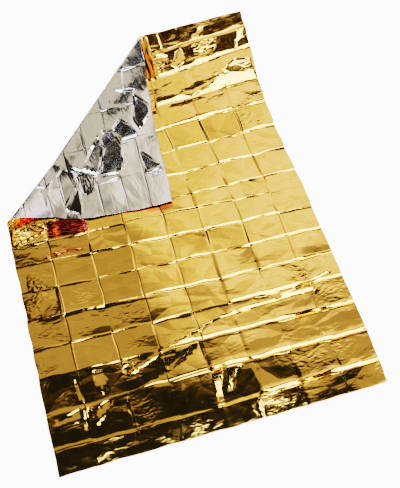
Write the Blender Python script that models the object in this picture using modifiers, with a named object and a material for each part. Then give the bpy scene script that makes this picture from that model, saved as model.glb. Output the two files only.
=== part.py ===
"""Emergency foil blanket: one thin sheet of film, cut 1.60 by 2.10, laid out with a corner folded over.

The sheet lies gold face up. The creases of its packed folds divide it into columns and rows, and each
row crease stays a low ridge or valley. The far left corner is turned over on a diagonal roll, wide and
loose at the left edge and tighter towards the far edge, so that its silver face shows on top. Units are
metres, +Z is up, +X runs to the right and +Y away along the sheet's length.
"""

import math

import bmesh
import bpy
import numpy as np

# Driving dimensions
FILM_THICKNESS = 0.0012
STEPS_PER_COLUMN = 3  # mesh steps from one column crease to the next
STEPS_PER_ROW = 3  # mesh steps from one row crease to the next

# The corner's fold
FOLD_START = (0.033, 1.205)  # on the left edge
FOLD_END = (0.953, 2.058)  # on the far edge
ROLL_AT_START = 0.025  # radius of the roll at the left edge
ROLL_AT_END = 0.007
ROLL_CLOSES_AT = 0.42  # distance along the fold at which the roll has closed down
ROLL_LINES = (0.0, 0.007, 0.014, 0.022, 0.034, 0.050, 0.078)  # mesh lines across it, from its start
BASE_SETTLE = 0.05  # the sheet lies down over this distance beside the roll
FLAP_SETTLE = 0.16  # the flap comes down from its roll over this distance
FLAP_REST = 0.019  # height of the settled flap
FLAP_WAVE = 0.004  # height of the flap's own low waves
FLAP_WAVE_LENGTH = 0.26
FLAP_WAIST = 0.014  # how far the flap's free right edge bows in

# One line for each row crease, from the near edge to the far edge: where it meets the left edge, the
# middle column crease and the right edge, and how high it stands at each of the three.
ROW_COLUMNS = ("x_left", "y_left", "y_mid", "y_right", "x_right", "z_left", "z_mid", "z_right")
ROW_CREASES = (
    (-0.004, 0.006, -0.014, -0.028, 1.562, 0.000, 0.001, 0.000),
    (0.000, 0.122, 0.092, 0.079, 1.563, 0.003, 0.003, 0.003),
    (0.004, 0.286, 0.264, 0.230, 1.559, 0.000, 0.000, 0.000),
    (0.009, 0.458, 0.414, 0.369, 1.549, 0.005, 0.005, 0.004),
    (0.013, 0.593, 0.554, 0.508, 1.539, 0.001, 0.002, 0.005),
    (0.017, 0.735, 0.682, 0.636, 1.530, 0.005, 0.003, 0.000),
    (0.022, 0.878, 0.818, 0.768, 1.520, 0.000, 0.000, 0.003),
    (0.027, 1.018, 0.944, 0.889, 1.514, 0.004, 0.003, 0.000),
    (0.030, 1.116, 1.064, 1.003, 1.509, 0.010, 0.000, 0.000),
    (0.033, 1.226, 1.138, 1.103, 1.498, 0.000, 0.000, 0.000),
    (0.030, 1.352, 1.255, 1.229, 1.485, 0.002, 0.000, 0.000),
    (0.015, 1.478, 1.382, 1.361, 1.478, 0.000, 0.002, 0.003),
    (-0.020, 1.604, 1.506, 1.510, 1.476, 0.002, 0.003, 0.005),
    (-0.022, 1.718, 1.640, 1.639, 1.478, 0.000, 0.000, 0.000),
    (-0.020, 1.832, 1.782, 1.832, 1.499, 0.002, 0.003, 0.007),
    (-0.017, 1.943, 1.941, 1.962, 1.508, 0.000, 0.000, 0.004),
    (-0.014, 2.048, 2.070, 2.054, 1.512, 0.001, 0.001, 0.000),
)

# One line for each column crease: its place as a share of the width, and the height it adds.
COLUMN_COLUMNS = ("share", "height")
COLUMN_CREASES = (
    (0.000, 0.000),
    (0.120, 0.004),
    (0.253, 0.000),
    (0.380, 0.005),
    (0.512, 0.000),
    (0.632, 0.000),
    (0.758, 0.000),
    (0.884, 0.004),
    (1.000, 0.000),
)

GOLD = (0.86, 0.62, 0.16, 1.0)
SILVER = (0.80, 0.78, 0.75, 1.0)
FOIL_ROUGHNESS = 0.15


def table(names, rows):
    """The table's named columns as arrays."""
    return {name: np.array(values) for name, values in zip(names, zip(*rows))}


def along_crease(share, left, mid, right, middle):
    """A value on a row crease: straight from the left edge to the middle column, then to the right edge."""
    before = left + (mid - left) * share / middle
    after = mid + (right - mid) * (share - middle) / (1.0 - middle)
    return np.where(share < middle, before, after)


def laid_flat(across, along):
    """Where points of the cut sheet, as shares of its width and length, lie before the corner is folded."""
    rows = table(ROW_COLUMNS, ROW_CREASES)
    columns = table(COLUMN_COLUMNS, COLUMN_CREASES)
    row_count, column_count = len(ROW_CREASES) - 1, len(COLUMN_CREASES) - 1
    here = {name: np.interp(along * row_count, np.arange(row_count + 1), rows[name]) for name in rows}
    share = np.interp(across * column_count, np.arange(column_count + 1), columns["share"])
    middle = columns["share"][column_count // 2]
    x = here["x_left"] + (here["x_right"] - here["x_left"]) * share
    y = along_crease(share, here["y_left"], here["y_mid"], here["y_right"], middle)
    row_height = along_crease(share, here["z_left"], here["z_mid"], here["z_right"], middle)
    column_height = np.interp(share, columns["share"], columns["height"]) * np.sin(math.pi * along)
    return np.stack((x, y, row_height + column_height), axis=1)


def fold_directions():
    """The fold's start, the unit vectors along it and out over it, and its length."""
    start = np.array(FOLD_START)
    along = np.array(FOLD_END) - start
    length = np.hypot(*along)
    along = along / length
    return start, along, np.array((-along[1], along[0])), length


def ease(share):
    """0 to 1 with level ends."""
    share = np.clip(share, 0.0, 1.0)
    return share * share * (3.0 - 2.0 * share)


def folded_over(points):
    """The laid sheet with all that is past the fold carried round the roll and back over the sheet."""
    start, along, outward, length = fold_directions()
    offset = points[:, :2] - start
    distance = offset @ along
    beyond = offset @ outward
    closed = np.clip(distance / ROLL_CLOSES_AT, 0.0, 1.0)
    radius = ROLL_AT_START + (ROLL_AT_END - ROLL_AT_START) * closed
    turn = np.clip(beyond / radius, 0.0, math.pi)
    over = np.maximum(beyond - math.pi * radius, 0.0)
    reach = np.where(beyond > 0.0, radius * np.sin(turn) - over, beyond)

    settled = ease(over / FLAP_SETTLE)
    wave = FLAP_WAVE * np.sin(2.0 * math.pi * over / FLAP_WAVE_LENGTH) * np.cos(math.pi * distance / length)
    flap = 2.0 * radius * (1.0 - settled) + (FLAP_REST + wave) * settled
    rolled = np.where(over > 0.0, flap, radius * (1.0 - np.cos(turn)))
    lying = points[:, 2] * ease(-beyond / BASE_SETTLE)

    placed = start + distance[:, None] * along + reach[:, None] * outward
    share_down = np.clip((placed[:, 1] - start[1]) / (FOLD_END[1] - start[1]), 0.0, 1.0)
    placed[:, 0] -= FLAP_WAIST * np.sin(math.pi * share_down) * settled
    return np.column_stack((placed, np.where(beyond > 0.0, rolled, lying)))


def place(mesh, points):
    """Moves the mesh's vertices to the points."""
    for vertex, point in zip(mesh.verts, points):
        vertex.co = point


def build_sheet():
    """The sheet's underside: cut, creased and folded, centred over the origin and standing on it."""
    columns, rows = len(COLUMN_CREASES) - 1, len(ROW_CREASES) - 1
    sheet = bmesh.new()
    bmesh.ops.create_grid(
        sheet, x_segments=columns * STEPS_PER_COLUMN, y_segments=rows * STEPS_PER_ROW, size=0.5
    )
    cut = np.array([vertex.co for vertex in sheet.verts]) + 0.5
    place(sheet, laid_flat(cut[:, 0], cut[:, 1]))

    start, _, outward, _ = fold_directions()
    for line in ROLL_LINES:
        through = start + outward * line
        bmesh.ops.bisect_plane(
            sheet,
            geom=sheet.verts[:] + sheet.edges[:] + sheet.faces[:],
            plane_co=(*through, 0.0),
            plane_no=(*outward, 0.0),
            dist=0.0005,
        )
    folded = folded_over(np.array([vertex.co for vertex in sheet.verts]))
    low, high = folded.min(axis=0), folded.max(axis=0)
    place(sheet, folded - ((low[0] + high[0]) / 2.0, (low[1] + high[1]) / 2.0, low[2]))
    bmesh.ops.triangulate(sheet, faces=sheet.faces[:])
    return sheet


def foil_material(name, color):
    """Metallised film: a mirror bright metal, faintly blurred by its fine wrinkles."""
    material = bpy.data.materials.new(name)
    material.use_nodes = True
    shader = material.node_tree.nodes["Principled BSDF"]
    shader.inputs["Base Color"].default_value = color
    shader.inputs["Metallic"].default_value = 1.0
    shader.inputs["Roughness"].default_value = FOIL_ROUGHNESS
    return material


def main():
    for old in list(bpy.data.objects):
        bpy.data.objects.remove(old)
    collection = bpy.data.collections.new("emergency_foil_blanket")
    bpy.context.scene.collection.children.link(collection)

    sheet = build_sheet()
    mesh = bpy.data.meshes.new("foil_sheet")
    sheet.to_mesh(mesh)
    sheet.free()
    mesh.materials.append(foil_material("gold_face", GOLD))  # the thickened, upper side
    mesh.materials.append(foil_material("silver_face", SILVER))
    blanket = bpy.data.objects.new("foil_sheet", mesh)
    collection.objects.link(blanket)

    wall = blanket.modifiers.new("film", "SOLIDIFY")
    wall.thickness = FILM_THICKNESS
    wall.offset = 1.0
    wall.use_even_offset = True
    wall.material_offset = 1


main()
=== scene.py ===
import math

import bmesh
import bpy
import numpy as np
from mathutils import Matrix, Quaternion, Vector


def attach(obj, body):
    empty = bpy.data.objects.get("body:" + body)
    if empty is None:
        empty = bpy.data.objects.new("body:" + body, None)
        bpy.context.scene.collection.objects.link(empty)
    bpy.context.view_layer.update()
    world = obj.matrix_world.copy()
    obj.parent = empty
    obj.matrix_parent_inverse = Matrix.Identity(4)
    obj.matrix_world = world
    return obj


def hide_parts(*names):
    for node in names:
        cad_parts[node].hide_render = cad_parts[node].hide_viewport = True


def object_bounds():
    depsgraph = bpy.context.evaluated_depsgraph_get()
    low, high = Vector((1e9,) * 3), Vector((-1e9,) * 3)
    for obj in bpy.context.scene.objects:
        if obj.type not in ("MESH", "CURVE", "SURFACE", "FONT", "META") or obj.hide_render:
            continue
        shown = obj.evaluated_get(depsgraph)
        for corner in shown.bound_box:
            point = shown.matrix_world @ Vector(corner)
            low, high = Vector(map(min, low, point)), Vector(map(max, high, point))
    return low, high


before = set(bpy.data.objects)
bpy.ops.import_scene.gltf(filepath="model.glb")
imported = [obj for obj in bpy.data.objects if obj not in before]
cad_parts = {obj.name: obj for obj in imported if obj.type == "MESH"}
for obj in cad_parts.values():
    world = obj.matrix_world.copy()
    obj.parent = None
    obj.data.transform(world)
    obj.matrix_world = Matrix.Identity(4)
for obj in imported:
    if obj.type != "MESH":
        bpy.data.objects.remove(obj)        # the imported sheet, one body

cadLow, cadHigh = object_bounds()
print("frame loaded")

# the film as it was cut and folded into its packet: 8 panels across, 16 along
filmCut = {
    "width": 1.60,
    "length": 2.10,
    "columns": 8,
    "rows": 16,
    "film": 0.0005,  # really about 0.012 mm, thick enough here to shade cleanly
    "lift": 0.006,  # how far the panels ride above the floor on their own creases
    "facetEdge": 0.006,  # over this a facet turns back into its panel
    "lineGaps": (0.003, 0.006, 0.010, 0.015, 0.022),  # mesh lines beside each crease
    "panelStep": 0.0165,  # mesh lines across a panel
    "blend": 0.010,  # over this a panel passes into the next
    "flapEdge": 0.010,  # the same for a facet of the flap
    "crispAngle": 32.0,  # folds sharper than this are left crisp
    "wander": 0.0022,  # how far the creases stray sideways
    "calmCrumple": 0.035,  # fine crumpling where the film is calm
}

# how mesh lines are scored into the film beside facets and folds, in metres
scoring = {
    "square": 0.05,  # faces are sorted into squares of this size
    "margin": 0.015,  # faces this far beside a line are cut too
    "overrun": 0.01,  # and this far past its ends
    "weld": 0.0008,
    "guard": 0.003,  # one line more on each side of a flap facet's edge
    "flapAbove": 0.0125,  # only what lies higher belongs to the flap
}
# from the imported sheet's low corner to the sheet's near-left corner
nearLeftCorner = (0.004, 0.028)

# where the row creases lie, from the near edge to the far one, in metres from the near-left corner:
# left x, left y, middle y, right y, right x, then the heights at left, middle and right
rowCreases = np.array((
    (-0.004, 0.006, -0.014, -0.028, 1.562, 0.000, 0.001, 0.000),
    (0.000, 0.122, 0.092, 0.079, 1.563, 0.002, 0.002, 0.002),
    (0.004, 0.286, 0.264, 0.230, 1.559, 0.000, 0.000, 0.000),
    (0.009, 0.458, 0.414, 0.369, 1.549, 0.003, 0.003, 0.002),
    (0.013, 0.593, 0.554, 0.508, 1.539, 0.001, 0.001, 0.003),
    (0.017, 0.735, 0.682, 0.636, 1.530, 0.003, 0.002, 0.000),
    (0.022, 0.878, 0.818, 0.768, 1.520, 0.000, 0.000, 0.002),
    (0.027, 1.018, 0.944, 0.889, 1.514, 0.002, 0.002, 0.000),
    (0.030, 1.116, 1.064, 1.003, 1.509, 0.010, 0.000, 0.000),
    (0.033, 1.226, 1.138, 1.103, 1.498, 0.000, 0.000, 0.000),
    (0.030, 1.352, 1.255, 1.229, 1.485, 0.001, 0.000, 0.000),
    (0.015, 1.478, 1.382, 1.361, 1.478, 0.000, 0.001, 0.002),
    (-0.020, 1.604, 1.506, 1.510, 1.476, 0.001, 0.002, 0.003),
    (-0.022, 1.718, 1.640, 1.639, 1.478, 0.000, 0.000, 0.000),
    (-0.020, 1.832, 1.782, 1.832, 1.499, 0.001, 0.002, 0.004),
    (-0.017, 1.943, 1.941, 1.962, 1.508, 0.000, 0.000, 0.003),
    (-0.014, 2.048, 2.070, 2.054, 1.512, 0.001, 0.001, 0.000),
))
columnShares = np.array((0.0, 0.120, 0.253, 0.380, 0.512, 0.632, 0.758, 0.884, 1.0))
columnHeights = np.array((0.0, 0.004, 0.0, 0.005, 0.0, 0.0, 0.0, 0.004, 0.0))

# the corner that is turned over
cornerFold = {
    "start": np.array((0.033, 1.205)),  # on the left edge
    "end": np.array((0.953, 2.058)),  # on the far edge
    "rollAtStart": 0.025,
    "rollAtEnd": 0.007,
    "rollClosesAt": 0.42,
    "rollLines": (0.0, 0.0035, 0.007, 0.0105, 0.014, 0.018, 0.022, 0.028, 0.034, 0.042, 0.050, 0.064, 0.078),
    "baseSettle": 0.05,
    "flapSettle": 0.16,
    "flapRest": 0.019,
    "flapWave": 0.004,
    "flapWaveLength": 0.26,
    "flapWaist": 0.014,
}

# cross-sections of a crease in millimetres: rise (below zero is a groove), reach of its near flank
# and of its far flank
creaseKinds = {
    "s": (0.3, 6, 6),  # pressed almost flat
    "o": (0.1, 6, 6),
    "g": (1.3, 5, 9),
    "h": (0.7, 5, 5),
    "d": (1.1, 10, 2.5),  # a long near flank and a sharp far one
    "k": (1.7, 14, 3),
    "b": (-1.0, 4, 4),
    "t": (3.0, 4, 10),
    "w": (5.4, 6, 16),
    "W": (6.4, 6, 17),
    "v": (2.6, 5, 15),
    "p": (1.1, 3, 9),
    "q": (1.6, 15, 4),
    "n": (1.1, 4, 6),
    "f": (0.5, 3, 5),
    "V": (4.2, 5, 24),
}
# one letter for each of the eight panels that a row crease crosses, near crease first
rowCreaseRuns = (
    "ghhshWWW",
    "hssgWWWW",
    "ssswwwww",
    "dddkswww",
    "dkkttttt",
    "ddddtdtt",
    "dkdttttd",
    "kkdsttds",
    "sssshddd",
    "nnhstdtd",
    "nnhsdtdt",
    "nnhsvvvs",
    "nnhssVVV",
    "nnhsgvvv",
    "nnhsssqq",
)
# one letter for each of the sixteen panels that a column crease crosses, left crease first
columnCreaseRuns = (
    "shhpbkbbbfffffff",
    "hhsbsbbsbfffsssf",
    "hshbbbbsbssssfss",
    "hssbbbbbbsssssss",
    "ooososssssssshhs",
    "oooosssbssbsbsss",
    "soobsssssssbsoss",
)

# panels that lean more than the rest: column, row, lean to the right and to the far side in degrees
leaningPanels = (
    (0, 0, 0.0, -0.6), (1, 0, 0.0, -0.6), (2, 0, 0.0, -0.4), (3, 0, 0.0, -0.4),
    (4, 0, 0.0, -0.8), (5, 0, 0.0, -0.6), (6, 0, 0.3, 1.4), (7, 0, 0.0, 2.2),
    (0, 1, 0.0, -0.9), (1, 1, 0.0, -0.9), (2, 1, 0.0, -0.8), (3, 1, 0.0, -0.6),
    (4, 1, 0.0, -1.0), (5, 1, 0.0, -0.6), (6, 1, 0.2, 0.4), (7, 1, 0.2, 1.0),
    (0, 2, 0.0, -0.3), (1, 2, 0.0, 0.4), (2, 2, 0.0, 0.2), (3, 2, 0.0, 0.9),
    (4, 2, 0.4, 2.2), (5, 2, 0.0, 2.1), (6, 2, 0.0, 1.9), (7, 2, 0.0, 1.4),
    (0, 3, 0.0, 0.3), (1, 3, 0.0, 0.5), (2, 3, 0.0, 0.4), (3, 3, 0.0, 0.3),
    (5, 6, -1.8, 0.0), (5, 11, -1.4, 0.0), (6, 11, -2.4, 0.0), (7, 11, -3.0, 0.0),
    (5, 12, 0.0, -1.2), (6, 12, 0.0, -1.0), (7, 12, 0.0, -1.2),
    (4, 14, 0.0, 1.4), (5, 14, 0.0, 0.8), (6, 14, 0.0, 1.1), (7, 14, 0.0, 0.8),
    (4, 15, 0.0, 2.1), (5, 15, 0.0, 0.1), (6, 15, 0.0, -0.2), (7, 15, 0.0, -0.6),
)

# flat facets pressed into the sheet: corners as column and row, then how far each leans more to the
# right and to the far side, in degrees
facets = (
    # the two nearest rows
    (((3.94, 1.93), (3.95, 1.40), (3.91, 1.04), (4.10, 1.04), (4.13, 1.50), (4.28, 1.93)), 0.0, -7.4),
    (((4.36, 1.93), (4.31, 1.60), (4.24, 1.32), (4.36, 1.32), (4.55, 1.66), (4.78, 1.93)), 0.0, -7.4),
    (((4.68, 0.60), (4.73, 0.62), (4.80, 0.05), (4.72, 0.20)), 0.0, -5.6),
    (((4.83, 0.76), (4.98, 0.80), (4.97, 0.04), (4.88, 0.04), (4.84, 0.30)), 0.0, -5.6),
    (((5.16, 0.74), (5.26, 0.72), (5.20, 0.55)), 0.0, -5.6),
    (((5.14, 0.26), (5.30, 0.20), (5.44, 0.04), (5.20, 0.10)), 0.0, -5.6),
    (((0.86, 1.88), (1.06, 1.95), (1.01, 1.38), (0.89, 1.32)), 1.2, -7.0),
    (((1.06, 1.92), (1.22, 1.86), (1.10, 1.60)), 1.2, -7.0),
    (((0.04, 1.58), (0.62, 1.54), (0.84, 1.58), (0.84, 1.98), (0.52, 1.85)), 0.0, 6.6),
    (((1.15, 1.41), (1.32, 1.45), (1.62, 1.94), (1.42, 1.97), (1.24, 1.84)), 0.0, 5.0),
    (((1.90, 1.90), (1.99, 1.92), (1.96, 1.40), (1.90, 1.50)), 0.0, -6.0),
    # the third row
    (((1.30, 2.36), (1.44, 2.10), (1.66, 2.50), (1.60, 2.80), (1.32, 2.86)), 0.0, 4.4),
    (((0.80, 2.10), (1.00, 2.05), (0.99, 2.70), (0.89, 2.76)), 0.0, 4.4),
    (((2.18, 2.03), (3.95, 2.03), (3.92, 2.99), (3.01, 2.21)), 0.0, 3.4),
    (((3.03, 2.30), (3.84, 2.97), (3.35, 2.84), (3.06, 2.74)), 0.0, -2.4),
    (((1.98, 2.62), (2.08, 2.54), (2.20, 2.70), (2.10, 2.96), (2.02, 2.96)), 0.0, -7.6),
    (((2.92, 2.78), (3.34, 2.72), (3.30, 2.96), (3.02, 2.92)), 0.0, -7.6),
    # the two farthest rows and the one before them
    (((5.60, 13.20), (6.10, 13.14), (6.66, 13.34), (6.96, 13.62), (6.15, 13.50)), 0.0, 4.4),
    (((6.10, 13.03), (7.96, 13.03), (7.92, 13.66), (7.42, 13.80), (7.02, 13.62), (6.72, 13.34)), 0.0, 9.6),
    (((5.62, 14.30), (5.98, 14.86), (6.10, 14.40), (5.82, 14.08)), 0.0, -5.0),
    (((6.10, 14.20), (6.62, 14.12), (6.44, 14.34), (6.16, 14.40)), 0.0, -5.0),
    (((6.46, 14.56), (6.72, 14.96), (6.80, 14.88), (6.56, 14.52)), 0.0, -5.0),
    (((7.50, 14.06), (7.60, 14.06), (7.98, 14.94), (7.72, 14.92)), 0.0, 6.0),
    (((6.84, 14.92), (7.12, 14.84), (6.96, 14.66)), 0.0, 6.0),
    (((5.46, 15.04), (5.54, 15.04), (5.53, 15.94), (5.47, 15.94)), 0.0, 5.6),
    (((5.26, 14.66), (5.62, 14.60), (5.50, 14.98), (5.30, 14.94)), 0.0, 5.6),
    (((6.38, 15.20), (6.70, 15.62), (6.78, 15.50), (6.50, 15.10)), 0.0, -4.4),
    (((4.90, 13.96), (5.16, 13.96), (5.14, 15.94), (4.96, 15.94)), 0.0, -3.4),
    # beside the mouth of the fold
    (((0.05, 8.10), (0.95, 8.50), (0.12, 8.92)), 7.0, 0.0),
)

# single folds that run across the panels: corners as column and row, then in millimetres the rise, the
# reach on the right of travel and the reach on the left
looseFolds = (
    (((2.09, 2.48), (2.48, 2.65), (2.98, 2.90)), 1.4, 3, 9),
    (((3.00, 2.97), (3.69, 3.14), (4.18, 3.35), (4.70, 3.56), (5.46, 3.64), (6.21, 3.71),
      (7.22, 3.75)), 5.4, 6, 15),
    (((6.11, 3.77), (6.71, 3.92), (7.24, 4.10), (7.72, 4.27)), 4.4, 5, 12),
    (((0.35, 1.42), (0.85, 1.46)), 0.9, 4, 6),
    (((0.04, 0.20), (0.55, 0.22)), 0.7, 4, 6),
    (((0.04, 2.55), (0.18, 2.86)), 0.8, 5, 5),
    (((0.10, 2.52), (0.24, 2.80)), 0.8, 5, 5),
    (((2.95, 0.10), (2.97, 0.50)), 1.0, 5, 5),
    (((3.22, 1.30), (3.26, 1.86)), 1.0, 6, 4),
    (((3.62, 0.16), (3.98, 0.42)), 0.8, 6, 4),
    (((3.40, 0.24), (3.52, 0.52)), 0.8, 6, 4),
    (((5.02, 13.95), (5.00, 14.88), (4.98, 15.90)), 12.0, 14, 14),
    (((5.16, 13.95), (5.14, 14.88), (5.10, 15.90)), 12.0, 14, 14),
    (((1.04, 8.08), (2.08, 8.03)), 4.7, 5.5, 5.5),
    (((1.02, 8.16), (2.12, 8.11)), 4.5, 5.5, 5.5),
    (((1.06, 8.25), (2.06, 8.20)), 4.8, 5.5, 5.5),
    (((1.03, 8.33), (2.10, 8.28)), 4.6, 5.5, 5.5),
    (((1.05, 8.42), (2.04, 8.37)), 4.9, 5.5, 5.5),
    (((1.02, 8.50), (2.12, 8.45)), 4.5, 5.5, 5.5),
    (((1.06, 8.58), (2.07, 8.53)), 4.7, 5.5, 5.5),
    (((1.03, 8.67), (2.10, 8.62)), 4.8, 5.5, 5.5),
    (((1.05, 8.75), (2.05, 8.70)), 4.5, 5.5, 5.5),
    (((1.04, 8.84), (2.02, 8.79)), 4.7, 5.5, 5.5),
    (((1.07, 8.92), (1.98, 8.87)), 4.6, 5.5, 5.5),
    (((0.80, 7.12), (1.30, 7.22)), 2.2, 4, 4),
    (((1.10, 7.32), (1.84, 7.25)), 2.2, 4, 4),
    (((0.10, 8.02), (1.02, 8.50)), 4.0, 6, 6),
    (((0.50, 9.10), (1.06, 8.56)), 4.0, 6, 6),
)

# facets and folds of the turned-over corner, in metres to the right of and beyond the near-left corner
flapFacets = (
    (((0.450, 1.395), (0.590, 1.580), (0.595, 1.495), (0.550, 1.370), (0.520, 1.350)), 0.0, 5.3),
    (((0.560, 1.390), (0.600, 1.490), (0.610, 1.590), (0.670, 1.580), (0.695, 1.480), (0.670, 1.345),
      (0.550, 1.355)), 0.0, 5.3),
    (((0.665, 1.580), (0.720, 1.630), (0.775, 1.570), (0.790, 1.505), (0.695, 1.505)), 0.0, 5.2),
    (((0.825, 1.745), (0.888, 1.665), (0.882, 1.605), (0.805, 1.530), (0.785, 1.595),
      (0.805, 1.670)), 0.0, 4.8),
    (((0.725, 1.805), (0.785, 1.795), (0.850, 1.760), (0.830, 1.735), (0.770, 1.760)), 0.0, 5.3),
    (((0.775, 1.430), (0.866, 1.310), (0.768, 1.290)), 0.0, 5.5),
    (((0.330, 1.222), (0.395, 1.295), (0.430, 1.312), (0.425, 1.215), (0.415, 1.175),
      (0.395, 1.180)), -5.6, 0.0),
    (((0.330, 1.240), (0.332, 1.415), (0.365, 1.448), (0.430, 1.410), (0.430, 1.350),
      (0.382, 1.285)), -4.8, 0.0),
    (((0.430, 1.390), (0.475, 1.385), (0.530, 1.355), (0.505, 1.280), (0.462, 1.265),
      (0.434, 1.275)), -5.2, 0.0),
    (((0.228, 1.350), (0.292, 1.395), (0.312, 1.398), (0.250, 1.268), (0.240, 1.255)), -5.6, 0.0),
    (((0.158, 1.290), (0.182, 1.298), (0.172, 1.252), (0.160, 1.245)), -6.0, 0.0),
)
flapFolds = (
    (((0.410, 1.430), (0.530, 1.350)), 3.2, 5, 13),
    (((0.545, 1.345), (0.650, 1.330)), 3.4, 5, 13),
    (((0.545, 1.312), (0.650, 1.312)), -1.4, 4, 4),
    (((0.775, 1.290), (0.865, 1.310)), 2.6, 4, 10),
    (((0.785, 1.270), (0.865, 1.288)), -1.8, 4, 4),
    (((0.565, 1.370), (0.600, 1.500)), 1.6, 6, 4),
    (((0.690, 1.500), (0.740, 1.470)), 1.6, 5, 5),
)

# painted reflection: red painted where pleated film would throw its own amber back and forth: corners as
# column and row, depth of the painted red
paintedRedReflection = (
    (((1.30, 7.98), (2.06, 8.00), (2.12, 8.50), (1.92, 8.90), (1.34, 8.94)), 1.0),
    (((1.00, 8.02), (1.32, 8.00), (1.36, 8.94), (1.02, 8.90)), 0.5),
    (((0.10, 8.04), (1.02, 8.46), (1.04, 8.62), (0.60, 9.00), (0.52, 8.94), (0.84, 8.60)), 0.40),
    (((0.70, 7.04), (1.30, 7.14), (1.88, 7.16), (1.86, 7.32), (1.20, 7.40), (0.78, 7.26)), 0.5),
    (((3.66, 8.40), (4.10, 8.26), (4.46, 8.40), (4.46, 8.74), (3.72, 8.72)), 0.5),
)

# where the film is crumpled: column and row from the near-left corner, reach in metres, strength
crumpledSpots = (
    (6.5, 1.5, 0.20, 0.14),
    (7.2, 0.5, 0.22, 0.10),
    (5.3, 0.6, 0.08, 0.35),
    (1.2, 0.4, 0.06, 0.15),
    (2.2, 1.4, 0.08, 0.20),
    (2.2, 2.7, 0.04, 0.60),
    (3.4, 0.5, 0.05, 0.20),
    (6.9, 4.6, 0.07, 0.35),
    (7.6, 3.4, 0.10, 0.25),
    (7.8, 13.6, 0.05, 0.30),
    (5.3, 14.5, 0.05, 0.50),
    (6.7, 14.6, 0.06, 0.35),
    (7.4, 11.5, 0.10, 0.30),
    (0.3, 5.8, 0.10, 0.30),
    (0.5, 8.6, 0.12, 0.50),
    (1.3, 9.0, 0.06, 0.60),
    (3.0, 14.8, 0.08, 0.20),
    (1.2, 12.6, 0.05, 0.60),
    (0.5, 4.3, 0.09, 0.16),
    (1.6, 4.5, 0.10, 0.12),
    (2.6, 4.3, 0.09, 0.12),
    (2.4, 3.4, 0.08, 0.10),
    (1.5, 5.4, 0.06, 0.14),
    (0.6, 2.5, 0.08, 0.10),
    (1.4, 0.5, 0.09, 0.16),
)


def smoothStep(low, high, value):
    # 0 below low, 1 above high, 3s^2 - 2s^3 between
    share = np.clip((value - low) / (high - low), 0.0, 1.0)
    return share * share * (3.0 - 2.0 * share)


def drift(places, wavelength, seed, waves=6):
    # a slow unevenness of about -1 to 1: the mean of cosine waves in seeded directions
    dice = np.random.default_rng(seed)
    turn = dice.uniform(0.0, 2.0 * math.pi, waves)
    stretch = dice.uniform(0.6, 1.5, waves) / wavelength
    start = dice.uniform(0.0, 1.0, waves)
    along = places[:, 0:1] * np.cos(turn) * stretch + places[:, 1:2] * np.sin(turn) * stretch
    return np.cos(2.0 * math.pi * (along + start)).sum(axis=1) / math.sqrt(waves)


def panelLines(cells, cell):
    # mesh lines over `cells` panels of size `cell`: close beside each crease, even in between
    gaps = np.array(filmCut["lineGaps"])
    open_ = cell - 2.0 * gaps[-1]
    steps = int(round(open_ / filmCut["panelStep"]))
    inner = gaps[-1] + open_ * np.arange(1, steps) / steps
    one = np.concatenate(([0.0], gaps, inner, cell - gaps[::-1]))
    return np.concatenate([one + cell * n for n in range(cells)] + [[cell * cells]])


def laidFlat(cut):
    # film place in metres -> where it lies: straight between the row creases, bent once at the middle
    # crease, with a slow drift of a few millimetres
    row = cut[:, 1] / filmCut["length"] * filmCut["rows"]
    column = cut[:, 0] / filmCut["width"] * filmCut["columns"]
    at = [np.interp(row, np.arange(len(rowCreases)), values) for values in rowCreases.T]
    share = np.interp(column, np.arange(len(columnShares)), columnShares)
    middle = columnShares[filmCut["columns"] // 2]
    left = share < middle
    near = np.where(left, share / middle, (share - middle) / (1.0 - middle))
    y = np.where(left, at[1] + (at[2] - at[1]) * near, at[2] + (at[3] - at[2]) * near)
    z = np.where(left, at[5] + (at[6] - at[5]) * near, at[6] + (at[7] - at[6]) * near)
    ends = np.sin(math.pi * row / filmCut["rows"])
    z = z + np.interp(column, np.arange(len(columnHeights)), columnHeights) * ends
    place = np.stack((at[0] + (at[4] - at[0]) * share, y, z), axis=1)
    place[:, :2] += np.column_stack((drift(cut, 0.16, 71), drift(cut, 0.13, 72))) * filmCut["wander"]
    return place


def foldDirections():
    run = cornerFold["end"] - cornerFold["start"]
    length = np.linalg.norm(run)
    along = run / length
    return cornerFold["start"], along, np.array((-along[1], along[0])), length


def foldedOver(place, relief):
    # what lies beyond the fold line goes round a roll that narrows along it, then back over the sheet;
    # relief is added square to the film everywhere
    start, along, outward, length = foldDirections()
    flat = place[:, :2] - start
    distance = flat @ along
    beyond = flat @ outward
    closed = np.clip(distance / cornerFold["rollClosesAt"], 0.0, 1.0)
    radius = cornerFold["rollAtStart"] + (cornerFold["rollAtEnd"] - cornerFold["rollAtStart"]) * closed
    turn = np.clip(beyond / radius, 0.0, math.pi)
    over = np.maximum(beyond - math.pi * radius, 0.0)
    reach = np.where(beyond > 0.0, radius * np.sin(turn) - over, beyond)
    settled = smoothStep(0.0, cornerFold["flapSettle"], over)
    wave = np.sin(2.0 * math.pi * over / cornerFold["flapWaveLength"]) * np.cos(math.pi * distance / length)
    wave = wave * (1.0 - smoothStep(0.76, 0.90, distance / length))
    flapHeight = cornerFold["flapRest"] + cornerFold["flapWave"] * wave
    flap = 2.0 * radius * (1.0 - settled) + flapHeight * settled
    rolled = np.where(over > 0.0, flap, radius * (1.0 - np.cos(turn)))
    lying = place[:, 2] * smoothStep(0.0, cornerFold["baseSettle"], -beyond)
    height = np.where(beyond > 0.0, rolled, lying)
    side = reach - relief * np.sin(turn)
    spot = start + distance[:, None] * along + side[:, None] * outward
    down = np.clip((spot[:, 1] - start[1]) / (cornerFold["end"][1] - start[1]), 0.0, 1.0)
    spot[:, 0] -= cornerFold["flapWaist"] * np.sin(math.pi * down) * settled
    return np.column_stack((spot, height + relief * np.cos(turn))), over


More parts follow.
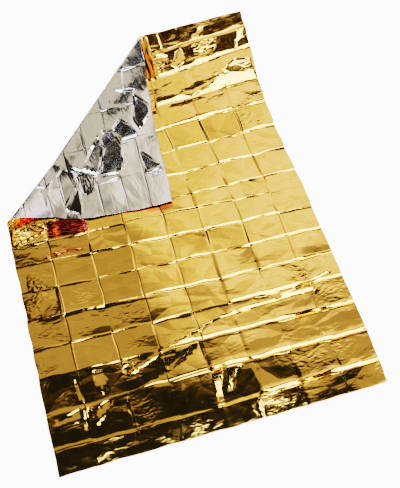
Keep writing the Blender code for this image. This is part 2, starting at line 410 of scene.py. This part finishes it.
def creaseRelief(across, along, runs, cell, span, seed):
    # a roof over each crease: rise x (1 - distance / reach), each flank with its own reach; the rise and
    # the reaches pass from one panel's kind to the next beside the crossing creases
    places = np.column_stack((across, along))
    crease = np.clip(np.rint(along / cell), 1, len(runs)).astype(int)
    distance = along - crease * cell
    knots = np.concatenate([(n + 0.06, n + 0.94) for n in range(len(runs[0]))])
    kinds = np.array([[creaseKinds[letter] for letter in run] for run in runs]) * 0.001
    at = across / span
    made = np.zeros(len(across))
    for index in range(1, len(runs) + 1):
        here = crease == index
        rise, near, far = (
            np.interp(at[here], knots, np.repeat(kinds[index - 1, :, part], 2)) for part in range(3)
        )
        uneven = np.clip(1.0 + 0.17 * drift(places[here] + index, 0.14, seed + index), 0.5, 1.5)
        steep = 1.0 + 0.06 * drift(places[here] + index, 0.05, seed + 50 + index)
        from_ = distance[here]
        flank = np.minimum(1.0 + from_ / (near * uneven), 1.0 - from_ / (far * uneven))
        made[here] = rise * uneven * steep * np.clip(flank, 0.0, None)
    return made


def panelRelief(cut):
    # each panel leans as a plane with a low bulge and a twist; neighbours blend over a few millimetres,
    # evenly across a column crease and on the near side of a row crease
    dice = np.random.default_rng(11)
    rows, columns = filmCut["rows"], filmCut["columns"]
    lean = dice.normal(0.0, 0.45, (rows, columns, 2))
    bulge = dice.normal(0.0, 0.0007, (rows, columns))
    twist = dice.normal(0.0, 0.0009, (rows, columns))
    for column, row, right, far in leaningPanels:
        lean[row, column] = (right, far)
    lean = np.tan(np.radians(lean))
    wide, long_ = filmCut["width"] / columns, filmCut["length"] / rows

    def height(column, row):
        s, t = cut[:, 0] / wide - column, cut[:, 1] / long_ - row
        plane = -(lean[row, column, 0] * (s - 0.5) * wide + lean[row, column, 1] * (t - 0.5) * long_)
        dome = bulge[row, column] * np.sin(math.pi * s) * np.sin(math.pi * t)
        return plane + dome + twist[row, column] * (s - 0.5) * (t - 0.5) * 4.0

    def rowHeight(row):
        own = height(column, row)
        other = height(np.clip(column + np.where(right, 1, -1), 0, columns - 1), row)
        return other + (own - other) * smoothStep(-filmCut["blend"], filmCut["blend"], beside)

    column = np.clip((cut[:, 0] / wide).astype(int), 0, columns - 1)
    row = np.clip((cut[:, 1] / long_).astype(int), 0, rows - 1)
    inPanel = cut[:, 0] - column * wide
    right = inPanel > 0.5 * wide
    beside = np.minimum(inPanel, wide - inPanel)
    ahead = smoothStep(0.0, 0.8 * filmCut["blend"], (row + 1) * long_ - cut[:, 1])
    after = rowHeight(np.clip(row + 1, 0, rows - 1))
    return after + (rowHeight(row) - after) * ahead


def howFarInside(places, outline):
    # distance to the nearest side, below zero outside; inside where a line to the right crosses the
    # outline an odd number of times
    away = np.full(len(places), 1.0)
    odd = np.zeros(len(places), bool)
    for begin, end in zip(outline, np.roll(outline, -1, axis=0)):
        run, from_ = end - begin, places - begin
        share = np.clip(from_ @ run / (run @ run), 0.0, 1.0)
        away = np.minimum(away, np.linalg.norm(from_ - share[:, None] * run, axis=1))
        passes = (begin[1] > places[:, 1]) != (end[1] > places[:, 1])
        onLeft = run[0] * from_[:, 1] - run[1] * from_[:, 0] > 0.0
        odd ^= passes & (onLeft == (run[1] > 0.0))
    return np.where(odd, away, -away)


def facetRelief(places, shapes, edge):
    # inside each outline a plane through its middle, run down to nothing over its last millimetres;
    # also how far inside an outline each place is, from 0 to 1
    made, covered = np.zeros(len(places)), np.zeros(len(places))
    for outline, right, far in shapes:
        inside = howFarInside(places, outline)
        from_ = places - outline.mean(axis=0)
        plane = -(math.tan(math.radians(right)) * from_[:, 0] + math.tan(math.radians(far)) * from_[:, 1])
        share = np.clip(inside / edge, 0.0, 1.0)
        made, covered = made + plane * share, np.maximum(covered, share)
    return made, covered


def foldRelief(places, runs):
    # a roof along each run of straight folds: rise x (1 - distance / reach), lower towards both ends
    made = np.zeros(len(places))
    for route, rise, onRight, onLeft in runs:
        lengths = np.linalg.norm(np.diff(route, axis=0), axis=1)
        total = lengths.sum()
        nearest = np.full(len(places), 1.0)
        side = np.zeros(len(places))
        travelled = np.zeros(len(places))
        for index, (begin, end) in enumerate(zip(route[:-1], route[1:])):
            run = (end - begin) / lengths[index]
            from_ = places - begin
            along = np.clip(from_ @ run, 0.0, lengths[index])
            away = np.linalg.norm(from_ - along[:, None] * run, axis=1)
            closer = away < nearest
            nearest = np.where(closer, away, nearest)
            side = np.where(closer, np.sign(from_ @ np.array((-run[1], run[0]))) * away, side)
            travelled = np.where(closer, along + lengths[:index].sum(), travelled)
        fade = np.minimum(smoothStep(0.0, 0.022, travelled), smoothStep(0.0, 0.022, total - travelled))
        flank = np.minimum(1.0 + side * 1000.0 / onRight, 1.0 - side * 1000.0 / onLeft)
        uneven = 1.0 + 0.14 * drift(places, 0.06, 900 + int(total * 1000))
        made += rise * 0.001 * np.clip(flank, 0.0, None) * fade * uneven
    return made


def outlines(shapes, perPanel):
    # the same shapes in metres, each outline turned anticlockwise
    made = []
    for corners, *sizes in shapes:
        outline = np.array(corners) * perPanel
        after = np.roll(outline, -1, axis=0)
        if (outline[:, 0] * after[:, 1] - outline[:, 1] * after[:, 0]).sum() < 0.0:
            outline = outline[::-1]
        made.append((outline, *sizes))
    return made


def routes(runs, perPanel):
    return [(np.array(corners) * perPanel, *sizes) for corners, *sizes in runs]


def sortFaces(bins, faces):
    # faces by the square that their middles lie in
    size = scoring["square"]
    for face in faces:
        middle = face.calc_center_median()
        bins.setdefault((int(middle.x // size), int(middle.y // size)), set()).add(face)
    return bins


def scoreRun(film, bins, begin, end, offsets, lowest):
    # adds mesh lines beside one straight run, so that its facets meet in clean edges
    run = end - begin
    length = np.linalg.norm(run)
    run = run / length
    square = np.array((-run[1], run[0]))
    widest = max(abs(offset) for offset in offsets) + scoring["margin"]
    low = ((np.minimum(begin, end) - widest) // scoring["square"]).astype(int)
    high = ((np.maximum(begin, end) + widest) // scoring["square"]).astype(int)
    near, pieces = set(), set()
    for x in range(low[0], high[0] + 1):
        for y in range(low[1], high[1] + 1):
            near |= bins.get((x, y), set())
    for face in near:
        middle = face.calc_center_median()
        x, y = middle.x - begin[0], middle.y - begin[1]
        beside, beyond = abs(x * square[0] + y * square[1]), x * run[0] + y * run[1]
        reached = -scoring["overrun"] < beyond < length + scoring["overrun"]
        if beside < widest and reached and middle.z >= lowest:
            pieces.add(face)
            pieces.update(face.edges, face.verts)
    pieces = list(pieces)
    for offset in offsets:
        if pieces:
            spot = begin + square * offset
            pieces = bmesh.ops.bisect_plane(
                film, geom=pieces, dist=scoring["weld"], plane_co=(*spot, 0.0), plane_no=(*square, 0.0)
            )["geom"]
    fresh = [piece for piece in pieces if isinstance(piece, bmesh.types.BMFace) and piece not in near]
    sortFaces(bins, fresh)


def scoreFilm(film, shapes, edge, runs, lowest, guard=()):
    # along each side of a facet, where its edge ends and at the guard distances, and along each fold
    bins = sortFaces({}, film.faces)
    for outline, _, _ in shapes:
        for begin, end in zip(outline, np.roll(outline, -1, axis=0)):
            scoreRun(film, bins, begin, end, (0.0, edge) + guard, lowest)
    for route, _, onRight, onLeft in runs:
        for begin, end in zip(route[:-1], route[1:]):
            scoreRun(film, bins, begin, end, (-onRight * 0.001, 0.0, onLeft * 0.001), lowest)


def crumpleStrength(cut):
    # a little on calm panels and each spot's own strength at its middle, fading as a bell over its reach
    wide = filmCut["width"] / filmCut["columns"]
    long_ = filmCut["length"] / filmCut["rows"]
    strength = np.full(len(cut), filmCut["calmCrumple"])
    for column, row, reach, most in crumpledSpots:
        away = np.hypot(cut[:, 0] - column * wide, cut[:, 1] - row * long_)
        strength = np.maximum(strength, most * np.exp(-((away / reach) ** 2)))
    return strength


def paintedRedness(cut, shapes):
    # how deep the painted red reflection is: the depth named for an outline inside it, run down to nothing
    # over its last millimetres
    depth = np.zeros(len(cut))
    for outline, most in shapes:
        depth = np.maximum(depth, most * np.clip(howFarInside(cut, outline) / filmCut["facetEdge"], 0.0, 1.0))
    return depth


def readPlaces(mesh):
    places = np.zeros(len(mesh.vertices) * 3)
    mesh.vertices.foreach_get("co", places)
    return places.reshape(-1, 3)


def readCut(mesh):
    kept = np.zeros(len(mesh.vertices) * 3)
    mesh.attributes["cutPlace"].data.foreach_get("vector", kept)
    return kept.reshape(-1, 3)[:, :2]


def makeSheet():
    wide, long_ = filmCut["width"] / filmCut["columns"], filmCut["length"] / filmCut["rows"]
    xs, ys = panelLines(filmCut["columns"], wide), panelLines(filmCut["rows"], long_)
    gridX, gridY = np.meshgrid(xs, ys)
    corner = (np.arange(len(ys) - 1)[:, None] * len(xs) + np.arange(len(xs) - 1)).ravel()
    faces = np.column_stack((corner, corner + 1, corner + len(xs) + 1, corner + len(xs)))
    mesh = bpy.data.meshes.new("foilSheet")
    flat = np.column_stack((gridX.ravel(), gridY.ravel(), 0.0 * gridX.ravel()))
    mesh.from_pydata(flat, [], faces.tolist())

    # still flat: mesh lines along its facets and loose folds
    sheetFacets, sheetFolds = outlines(facets, (wide, long_)), routes(looseFolds, (wide, long_))
    film = bmesh.new()
    film.from_mesh(mesh)
    scoreFilm(film, sheetFacets, filmCut["facetEdge"], sheetFolds, 0.0)
    film.to_mesh(mesh)
    places = readPlaces(mesh)
    mesh.attributes.new("cutPlace", "FLOAT_VECTOR", "POINT").data.foreach_set("vector", places.ravel())

    # laid out: mesh lines across the roll, so that it bends smoothly
    place = laidFlat(places[:, :2])
    mesh.vertices.foreach_set("co", (place * (1.0, 1.0, 0.0)).ravel())
    film.clear()
    film.from_mesh(mesh)
    start, _, outward, _ = foldDirections()
    for line in cornerFold["rollLines"]:
        bmesh.ops.bisect_plane(
            film,
            geom=film.verts[:] + film.edges[:] + film.faces[:],
            dist=0.0004,
            plane_co=(*(start + outward * line), 0.0),
            plane_no=(*outward, 0.0),
        )
    film.to_mesh(mesh)

    # corner turned over: mesh lines along the facets and folds of the flap
    onFlap, flapRuns = outlines(flapFacets, 1.0), routes(flapFolds, 1.0)
    folded, _ = foldedOver(laidFlat(readCut(mesh)), 0.0)
    mesh.vertices.foreach_set("co", folded.ravel())
    film.clear()
    film.from_mesh(mesh)
    guard = (-scoring["guard"], filmCut["flapEdge"] + scoring["guard"])
    scoreFilm(film, onFlap, filmCut["flapEdge"], flapRuns, scoring["flapAbove"], guard)
    film.to_mesh(mesh)
    film.free()

    cut = readCut(mesh)
    place = laidFlat(cut)
    relief = (
        creaseRelief(cut[:, 0], cut[:, 1], rowCreaseRuns, long_, wide, 200)
        + creaseRelief(cut[:, 1], cut[:, 0], columnCreaseRuns, wide, long_, 400)
        + panelRelief(cut)
        + facetRelief(cut, sheetFacets, filmCut["facetEdge"])[0]
        + foldRelief(cut, sheetFolds)
    )
    # on the flap a facet replaces the creases under it
    folded, over = foldedOver(place, 0.0)
    pressed, covered = facetRelief(folded[:, :2], onFlap, filmCut["flapEdge"])
    settled = smoothStep(0.0, 0.02, over)
    shaped, _ = foldedOver(place, relief * (1.0 - covered * settled))
    shaped[:, 2] += (pressed + foldRelief(folded[:, :2], flapRuns)) * settled
    shaped[:, :2] += np.array(cadLow[:2]) + nearLeftCorner
    shaped[:, 2] = np.maximum(shaped[:, 2] + filmCut["lift"], 0.0)
    mesh.vertices.foreach_set("co", shaped.ravel())

    corners = np.zeros(len(mesh.loops), int)
    mesh.loops.foreach_get("vertex_index", corners)
    mesh.uv_layers.new(name="cutMap").data.foreach_set("uv", cut[corners].ravel())
    mesh.attributes.new("crumple", "FLOAT", "POINT").data.foreach_set("value", crumpleStrength(cut))
    # painted reflection: a red tint where the film would see its own amber again
    paintedReds = outlines(paintedRedReflection, (wide, long_))
    mesh.attributes.new("paintedRedness", "FLOAT", "POINT").data.foreach_set("value", paintedRedness(cut, paintedReds))
    mesh.attributes.remove(mesh.attributes["cutPlace"])
    # soft where it bends, crisp where it is folded
    mesh.polygons.foreach_set("use_smooth", np.ones(len(mesh.polygons), bool))
    mesh.update()
    mesh.set_sharp_from_angle(angle=math.radians(filmCut["crispAngle"]))

    sheet = bpy.data.objects.new("foilSheet", mesh)
    bpy.context.scene.collection.objects.link(sheet)
    body = sheet.modifiers.new("film", "SOLIDIFY")
    body.thickness = filmCut["film"]
    body.offset = 1.0
    body.material_offset = 1
    return sheet


def toLinear(colour):
    # "#RRGGBB" in sRGB -> linear red, green, blue and an alpha of 1
    parts = np.array([int(colour[n:n + 2], 16) for n in (1, 3, 5)]) / 255.0
    linear = np.where(parts <= 0.04045, parts / 12.92, ((parts + 0.055) / 1.055) ** 2.4)
    return (*linear.tolist(), 1.0)


def addNode(tree, kind, settings=None, links=None):
    # settings name properties or input sockets (by name or number); links go socket -> (node, output)
    node = tree.nodes.new(kind)
    for name, value in (settings or {}).items():
        if isinstance(name, int):
            node.inputs[name].default_value = value
        elif hasattr(node, name):
            setattr(node, name, value)
        else:
            node.inputs[name].default_value = value
    for name, (source, output) in (links or {}).items():
        tree.links.new(source.outputs[output], node.inputs[name])
    return node


def newMaterial(name):
    material = bpy.data.materials.new(name)
    material.use_nodes = True
    material.node_tree.nodes.clear()
    return material, material.node_tree


def foilMaterial(name, look):
    material, tree = newMaterial(name)
    where = addNode(tree, "ShaderNodeUVMap", {"uv_map": "cutMap"})
    strength = addNode(tree, "ShaderNodeAttribute", {"attribute_name": "crumple"})
    warp = addNode(
        tree, "ShaderNodeTexNoise", {"Scale": 7.0, "Detail": 2.0}, {"Vector": (where, 0)}
    )
    centred = addNode(
        tree, "ShaderNodeVectorMath", {"operation": "SUBTRACT", 1: (0.5, 0.5, 0.5)}, {0: (warp, "Color")}
    )
    pushed = addNode(
        tree, "ShaderNodeVectorMath", {"operation": "MULTIPLY_ADD", 1: (0.035, 0.035, 0.0)},
        {0: (centred, 0), 2: (where, 0)},
    )
    # long flat facets between sharp folds, about 180 by 80 mm, 42 by 19 mm and 67 by 22 mm across those
    slanted = addNode(
        tree, "ShaderNodeMapping", {"Rotation": (0.0, 0.0, 0.55), "Scale": (1.0, 2.2, 1.0)},
        {"Vector": (pushed, 0)},
    )
    large = addNode(
        tree, "ShaderNodeTexVoronoi", {"feature": "DISTANCE_TO_EDGE", "Scale": 5.5}, {"Vector": (slanted, 0)}
    )
    small = addNode(
        tree, "ShaderNodeTexVoronoi", {"feature": "DISTANCE_TO_EDGE", "Scale": 24.0}, {"Vector": (slanted, 0)}
    )
    calm = addNode(
        tree, "ShaderNodeMath", {"operation": "MULTIPLY_ADD", 1: 0.2, 2: look["calm"]}, {0: (strength, "Fac")}
    )
    largeRise = addNode(
        tree, "ShaderNodeMath", {"operation": "MULTIPLY"}, {0: (large, "Distance"), 1: (calm, 0)}
    )
    crossed = addNode(
        tree, "ShaderNodeMapping", {"Rotation": (0.0, 0.0, -0.85), "Scale": (1.0, 3.0, 1.0)},
        {"Vector": (pushed, 0)},
    )
    crossing = addNode(
        tree, "ShaderNodeTexVoronoi", {"feature": "DISTANCE_TO_EDGE", "Scale": 15.0},
        {"Vector": (crossed, 0)},
    )
    both = addNode(
        tree, "ShaderNodeMath", {"operation": "ADD"}, {0: (small, "Distance"), 1: (crossing, "Distance")}
    )
    patchy = addNode(
        tree, "ShaderNodeMapRange", {"From Min": 0.35, "From Max": 0.65, "To Min": 0.2, "To Max": 1.8},
        {"Value": (warp, "Fac")},
    )
    local = addNode(tree, "ShaderNodeMath", {"operation": "MULTIPLY"}, {0: (strength, "Fac"), 1: (patchy, 0)})
    smallRise = addNode(
        tree, "ShaderNodeMath", {"operation": "MULTIPLY"}, {0: (both, 0), 1: (local, 0)}
    )
    scaled = addNode(
        tree, "ShaderNodeMath", {"operation": "MULTIPLY", 1: look["smallRise"]}, {0: (smallRise, 0)}
    )
    crumple = addNode(
        tree, "ShaderNodeMath", {"operation": "MULTIPLY_ADD", 1: look["largeRise"]},
        {0: (largeRise, 0), 2: (scaled, 0)},
    )
    ripple = addNode(
        tree, "ShaderNodeTexNoise", {"Scale": 22.0, "Detail": 1.0}, {"Vector": (where, 0)}
    )
    height = addNode(
        tree, "ShaderNodeMath", {"operation": "MULTIPLY_ADD", 1: look["ripple"]},
        {0: (ripple, "Fac"), 2: (crumple, 0)},
    )
    bump = addNode(tree, "ShaderNodeBump", {"Strength": 1.0, "Distance": 1.0}, {"Height": (height, 0)})
    haze = addNode(
        tree, "ShaderNodeMapRange",
        {"From Min": 0.35, "From Max": 0.65, "To Min": look["rough"][0], "To Max": look["rough"][1]},
        {"Value": (ripple, "Fac")},
    )
    # painted reflection: where the film would reflect its own amber, the base colour is painted toward orange
    # and red
    paintedRed = addNode(tree, "ShaderNodeAttribute", {"attribute_name": "paintedRedness"})
    colour = addNode(tree, "ShaderNodeValToRGB", None, {0: (paintedRed, "Fac")})
    colour.color_ramp.elements[0].color = toLinear(look["colour"])
    colour.color_ramp.elements[1].color = toLinear(look["paintedReflectionColours"][1])
    colour.color_ramp.elements.new(0.5).color = toLinear(look["paintedReflectionColours"][0])
    shader = addNode(
        tree, "ShaderNodeBsdfPrincipled",
        {"Metallic": 1.0, "Coat Weight": look["coat"], "Coat Roughness": 0.06},
        {"Base Color": (colour, 0), "Normal": (bump, 0), "Coat Normal": (bump, 0), "Roughness": (haze, 0)},
    )
    addNode(tree, "ShaderNodeOutputMaterial", None, {"Surface": (shader, 0)})
    return material


# polyester film with aluminium evaporated on it: a mirror, hardly blurred by its own fine wrinkles
silverLook = {
    "colour": "#DCCBAE", "paintedReflectionColours": ("#DCCBAE", "#DCCBAE"), "rough": (0.06, 0.10), "coat": 0.0, "calm": 0.07,
    "largeRise": 0.018, "smallRise": 0.004, "ripple": 0.00012,
}
# the same film under amber lacquer, which the light passes twice; its two darker orange and red colours are a
# painted red reflection
goldLook = {
    "colour": "#FAAB39", "paintedReflectionColours": ("#F0701C", "#9C3A12"), "rough": (0.05, 0.09), "coat": 0.5, "calm": 0.11,
    "largeRise": 0.018, "smallRise": 0.004, "ripple": 0.00012,
}

sheet = makeSheet()
sheet.data.materials.append(foilMaterial("amberLacqueredFilm", goldLook))
sheet.data.materials.append(foilMaterial("aluminisedFilm", silverLook))
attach(sheet, "root")
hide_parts("foil_sheet")
print("sheet made", len(sheet.data.polygons), "faces")


def makeFloor():
    mesh = bpy.data.meshes.new("studioFloor")
    half = 40.0
    corners = [(-half, -half, 0), (half, -half, 0), (half, half, 0), (-half, half, 0)]
    mesh.from_pydata(corners, [], [(0, 1, 2, 3)])
    floor = bpy.data.objects.new("studioFloor", mesh)
    bpy.context.scene.collection.objects.link(floor)
    material, tree = newMaterial("mattWhitePaint")
    shader = addNode(
        tree, "ShaderNodeBsdfPrincipled",
        {"Base Color": toLinear("#F4F4F4"), "Roughness": 0.9, "Specular IOR Level": 0.0},
    )
    addNode(tree, "ShaderNodeOutputMaterial", None, {"Surface": (shader, 0)})
    mesh.materials.append(material)


# the room above the sheet, in slopes from straight up: right is x / z and far is y / z of a direction
studio = {
    "darkNear": (0.014, 0.025, 0.042),
    "darkFar": (0.026, 0.025, 0.026),
    "penumbra": 0.10,
    "deepGold": 0.50,
    "paleGold": 1.4,
    "paleTint": 0.6,  # extra blue in the paler part
    "silverSide": 0.40,
    "clutter": 0.35,  # how uneven the soft box is
    "window": 9.0,
    "frontLamp": 7.0,
    "lampTint": (1.0, 1.3, 2.2),  # cool daylight, which the lacquer warms back to white
    "frontWindow": 12.0,
    "sideLamp": 12.0,
    "horizon": 1.0,
    "backdrop": 7.0,
    "fill": 20.0,
}
# what is lit beside the soft box: from and to in right, from and to in far, softness of either
litPatches = {
    "tallWindow": (0.02, 0.9, 0.80, 1.6, 0.04, 0.01),
    "smallWindow": (-0.3, 0.02, 0.82, 0.95, 0.02, 0.01),
    "frontLamp": (-0.15, 0.16, -0.40, -0.13, 0.01, 0.01),
    "frontWindow": (0.10, 0.6, -1.7, -0.8, 0.05, 0.05),
    "sideLamp": (0.6, 1.3, -0.6, 0.12, 0.03, 0.03),
}


def ramp(tree, source, low, high):
    # smooth 0 to 1 between two values of one number
    return addNode(
        tree, "ShaderNodeMapRange", {"interpolation_type": "SMOOTHSTEP", "From Min": low, "From Max": high},
        {"Value": (source, 0)},
    )


def combine(tree, operation, first, second):
    # each of the two is a node or a plain number
    settings, links = {"operation": operation}, {}
    for socket, value in ((0, first), (1, second)):
        if isinstance(value, (int, float)):
            settings[socket] = value
        else:
            links[socket] = (value, 0)
    return addNode(tree, "ShaderNodeMath", settings, links)


def makeRoom():
    world = bpy.data.worlds.new("studioRoom")
    bpy.context.scene.world = world
    world.use_nodes = True
    tree = world.node_tree
    tree.nodes.clear()
    direction = addNode(tree, "ShaderNodeTexCoord")
    parts = addNode(tree, "ShaderNodeSeparateXYZ", None, {0: (direction, "Generated")})
    upward = addNode(tree, "ShaderNodeMath", {"operation": "MAXIMUM", 1: 0.02}, {0: (parts, 2)})
    right = addNode(tree, "ShaderNodeMath", {"operation": "DIVIDE"}, {0: (parts, 0), 1: (upward, 0)})
    far = addNode(tree, "ShaderNodeMath", {"operation": "DIVIDE"}, {0: (parts, 1), 1: (upward, 0)})

    def between(source, low, high, soft):
        rise = ramp(tree, source, low - soft, low + soft)
        fall = ramp(tree, source, high - soft, high + soft)
        return combine(tree, "SUBTRACT", rise, fall)

    def patch(name):
        left, onward, near, beyond, softAcross, softAlong = litPatches[name]
        across = between(right, left, onward, softAcross)
        return combine(tree, "MULTIPLY", across, between(far, near, beyond, softAlong))

    # big soft box over the sheet; its near edge slants away to the right and its far edge to the left
    nearEdge = addNode(
        tree, "ShaderNodeMapRange", {"From Min": 0.02, "From Max": 0.17, "To Min": 0.135, "To Max": 0.045},
        {"Value": (right, 0)},
    )
    farEdge = addNode(
        tree, "ShaderNodeMapRange", {"From Min": -0.06, "From Max": 0.03, "To Min": 0.67, "To Max": 0.552},
        {"Value": (right, 0)},
    )
    leftEdge = addNode(
        tree, "ShaderNodeMapRange", {"From Min": 0.34, "From Max": 0.37, "To Min": -0.28, "To Max": -0.215},
        {"Value": (far, 0)},
    )
    fromNear = combine(tree, "SUBTRACT", far, nearEdge)
    pastNear = ramp(tree, fromNear, -0.006, 0.006)
    beforeFar = ramp(tree, combine(tree, "SUBTRACT", farEdge, far), -0.006, 0.006)
    pastLeft = ramp(tree, combine(tree, "SUBTRACT", right, leftEdge), -0.02, 0.02)
    beforeRight = ramp(tree, combine(tree, "SUBTRACT", 0.48, right), -0.03, 0.03)
    depth = combine(tree, "MULTIPLY", pastNear, beforeFar)
    box = combine(tree, "MULTIPLY", depth, combine(tree, "MULTIPLY", pastLeft, beforeRight))
    rightward = ramp(tree, right, -0.04, 0.10)
    farther = ramp(tree, far, 0.12, 0.22)
    leftward = combine(tree, "SUBTRACT", 1.0, rightward)
    pale = combine(tree, "MULTIPLY", combine(tree, "MULTIPLY", rightward, farther), studio["paleGold"])
    leftFar = combine(tree, "MULTIPLY", leftward, ramp(tree, far, 0.30, 0.37))
    silver = combine(tree, "MULTIPLY", leftFar, studio["silverSide"])
    boxGlow = combine(tree, "ADD", combine(tree, "ADD", pale, silver), studio["deepGold"])
    fallen = combine(tree, "MULTIPLY", combine(tree, "MULTIPLY", leftward, ramp(tree, far, 0.62, 0.70)), 0.92)
    slope = addNode(tree, "ShaderNodeCombineXYZ", None, {0: (right, 0), 1: (far, 0)})
    cloud = addNode(tree, "ShaderNodeTexNoise", {"Scale": 16.0, "Detail": 3.0}, {"Vector": (slope, 0)})
    least, most = 1.0 - studio["clutter"], 1.0 + studio["clutter"]
    clutter = addNode(
        tree, "ShaderNodeMapRange", {"From Min": 0.3, "From Max": 0.7, "To Min": least, "To Max": most},
        {"Value": (cloud, "Fac")},
    )
    evenness = combine(tree, "MULTIPLY", clutter, combine(tree, "SUBTRACT", 1.0, fallen))
    shown = combine(tree, "MULTIPLY", box, evenness)
    boxLight = combine(tree, "MULTIPLY", shown, boxGlow)
    palest = combine(tree, "MULTIPLY", pale, ramp(tree, right, 0.03, 0.12))
    paler = addNode(
        tree, "ShaderNodeMapRange", {"From Min": 0.35, "From Max": 0.65, "To Min": 0.0, "To Max": 2.0},
        {"Value": (cloud, "Fac")},
    )
    bluish = combine(tree, "MULTIPLY", combine(tree, "MULTIPLY", shown, palest), studio["paleTint"])
    blue = combine(tree, "MULTIPLY", bluish, paler)
    spill = combine(tree, "MULTIPLY", between(fromNear, -0.03, 0.0, 0.03), studio["penumbra"])

    # two windows beyond the sheet, a lamp and a window behind the camera, a lamp on the right
    tall = patch("tallWindow")
    dimmed = combine(tree, "MULTIPLY", patch("smallWindow"), 0.5)
    windowLight = combine(tree, "MULTIPLY", combine(tree, "ADD", tall, dimmed), studio["window"])
    nearLight = combine(tree, "MULTIPLY", patch("frontLamp"), studio["frontLamp"])
    frontLight = combine(tree, "MULTIPLY", patch("frontWindow"), studio["frontWindow"])
    lampLight = combine(tree, "MULTIPLY", patch("sideLamp"), studio["sideLamp"])

    # walls: a soft glow low down, which starts lower still on the left
    low = addNode(
        tree, "ShaderNodeMapRange", {"interpolation_type": "SMOOTHSTEP", "From Min": 0.48, "From Max": 0.26},
        {"Value": (parts, 2)},
    )
    lower = addNode(
        tree, "ShaderNodeMapRange", {"interpolation_type": "SMOOTHSTEP", "From Min": 0.42, "From Max": 0.32},
        {"Value": (parts, 2)},
    )
    onRight = combine(tree, "MULTIPLY", low, ramp(tree, parts, -0.4, 0.1))
    walls = combine(tree, "MAXIMUM", onRight, combine(tree, "MULTIPLY", lower, 0.8))
    wallLight = combine(tree, "MULTIPLY", walls, studio["horizon"])

    total = boxLight
    for more in (spill, frontLight, lampLight, wallLight):
        total = combine(tree, "ADD", total, more)
    # what the camera sees behind the floor is the pale backdrop
    ray = addNode(tree, "ShaderNodeLightPath")
    seen = addNode(
        tree, "ShaderNodeMix", {"data_type": "FLOAT", 3: studio["backdrop"]},
        {0: (ray, "Is Camera Ray"), 2: (total, 0)},
    )
    bluer = combine(tree, "ADD", seen, blue)
    colour = addNode(tree, "ShaderNodeCombineXYZ", None, {0: (seen, 0), 1: (seen, 0), 2: (bluer, 0)})
    daylight = addNode(
        tree, "ShaderNodeVectorMath", {"operation": "SCALE", 0: studio["lampTint"]},
        {"Scale": (combine(tree, "ADD", windowLight, nearLight), 0)},
    )
    summed = addNode(tree, "ShaderNodeVectorMath", {"operation": "ADD"}, {0: (colour, 0), 1: (daylight, 0)})
    lights = addNode(tree, "ShaderNodeBackground", {"Strength": 1.0}, {"Color": (summed, 0)})
    # the unlit room: cool behind the camera, warm beyond the sheet
    shade = addNode(
        tree, "ShaderNodeMix",
        {"data_type": "RGBA", 6: (*studio["darkNear"], 1.0), 7: (*studio["darkFar"], 1.0)},
        {0: (ramp(tree, far, 0.10, 0.25), 0)},
    )
    unlit = addNode(tree, "ShaderNodeBackground", {"Strength": 1.0}, {"Color": (shade, 2)})
    both = addNode(tree, "ShaderNodeAddShader", None, {0: (lights, 0), 1: (unlit, 0)})
    addNode(tree, "ShaderNodeOutputWorld", None, {"Surface": (both, 0)})


def makeFill():
    # a broad overhead fill that the mirrors don't show
    light = bpy.data.lights.new("overheadFill", "SUN")
    light.energy = studio["fill"]
    light.angle = math.radians(60.0)
    fill = bpy.data.objects.new("overheadFill", light)
    fill.rotation_euler = (math.radians(-12.0), math.radians(10.0), 0.0)
    fill.visible_glossy = False
    bpy.context.scene.collection.objects.link(fill)


# the camera stands at the near edge and looks down over the sheet
cameraSetting = {
    "eye": Vector((-0.0618, -1.0503, 3.3269)),
    "aim": Vector((0.1450, -0.1532, 0.0)),
    "roll": math.radians(4.07),
    "lens": 51.64,
}


def makeCamera():
    data = bpy.data.cameras.new("studioCamera")
    data.lens = cameraSetting["lens"]
    data.sensor_width = 36.0
    camera = bpy.data.objects.new("studioCamera", data)
    look = cameraSetting["aim"] - cameraSetting["eye"]
    camera.location = cameraSetting["eye"]
    camera.rotation_mode = "QUATERNION"
    level = look.to_track_quat("-Z", "Y")
    camera.rotation_quaternion = level @ Quaternion((0.0, 0.0, 1.0), -cameraSetting["roll"])
    bpy.context.scene.collection.objects.link(camera)
    bpy.context.scene.camera = camera


makeFloor()
makeRoom()
makeFill()
makeCamera()
bpy.context.scene.view_settings.view_transform = "Filmic"
bpy.context.scene.view_settings.look = "Medium High Contrast"
print("studio made")
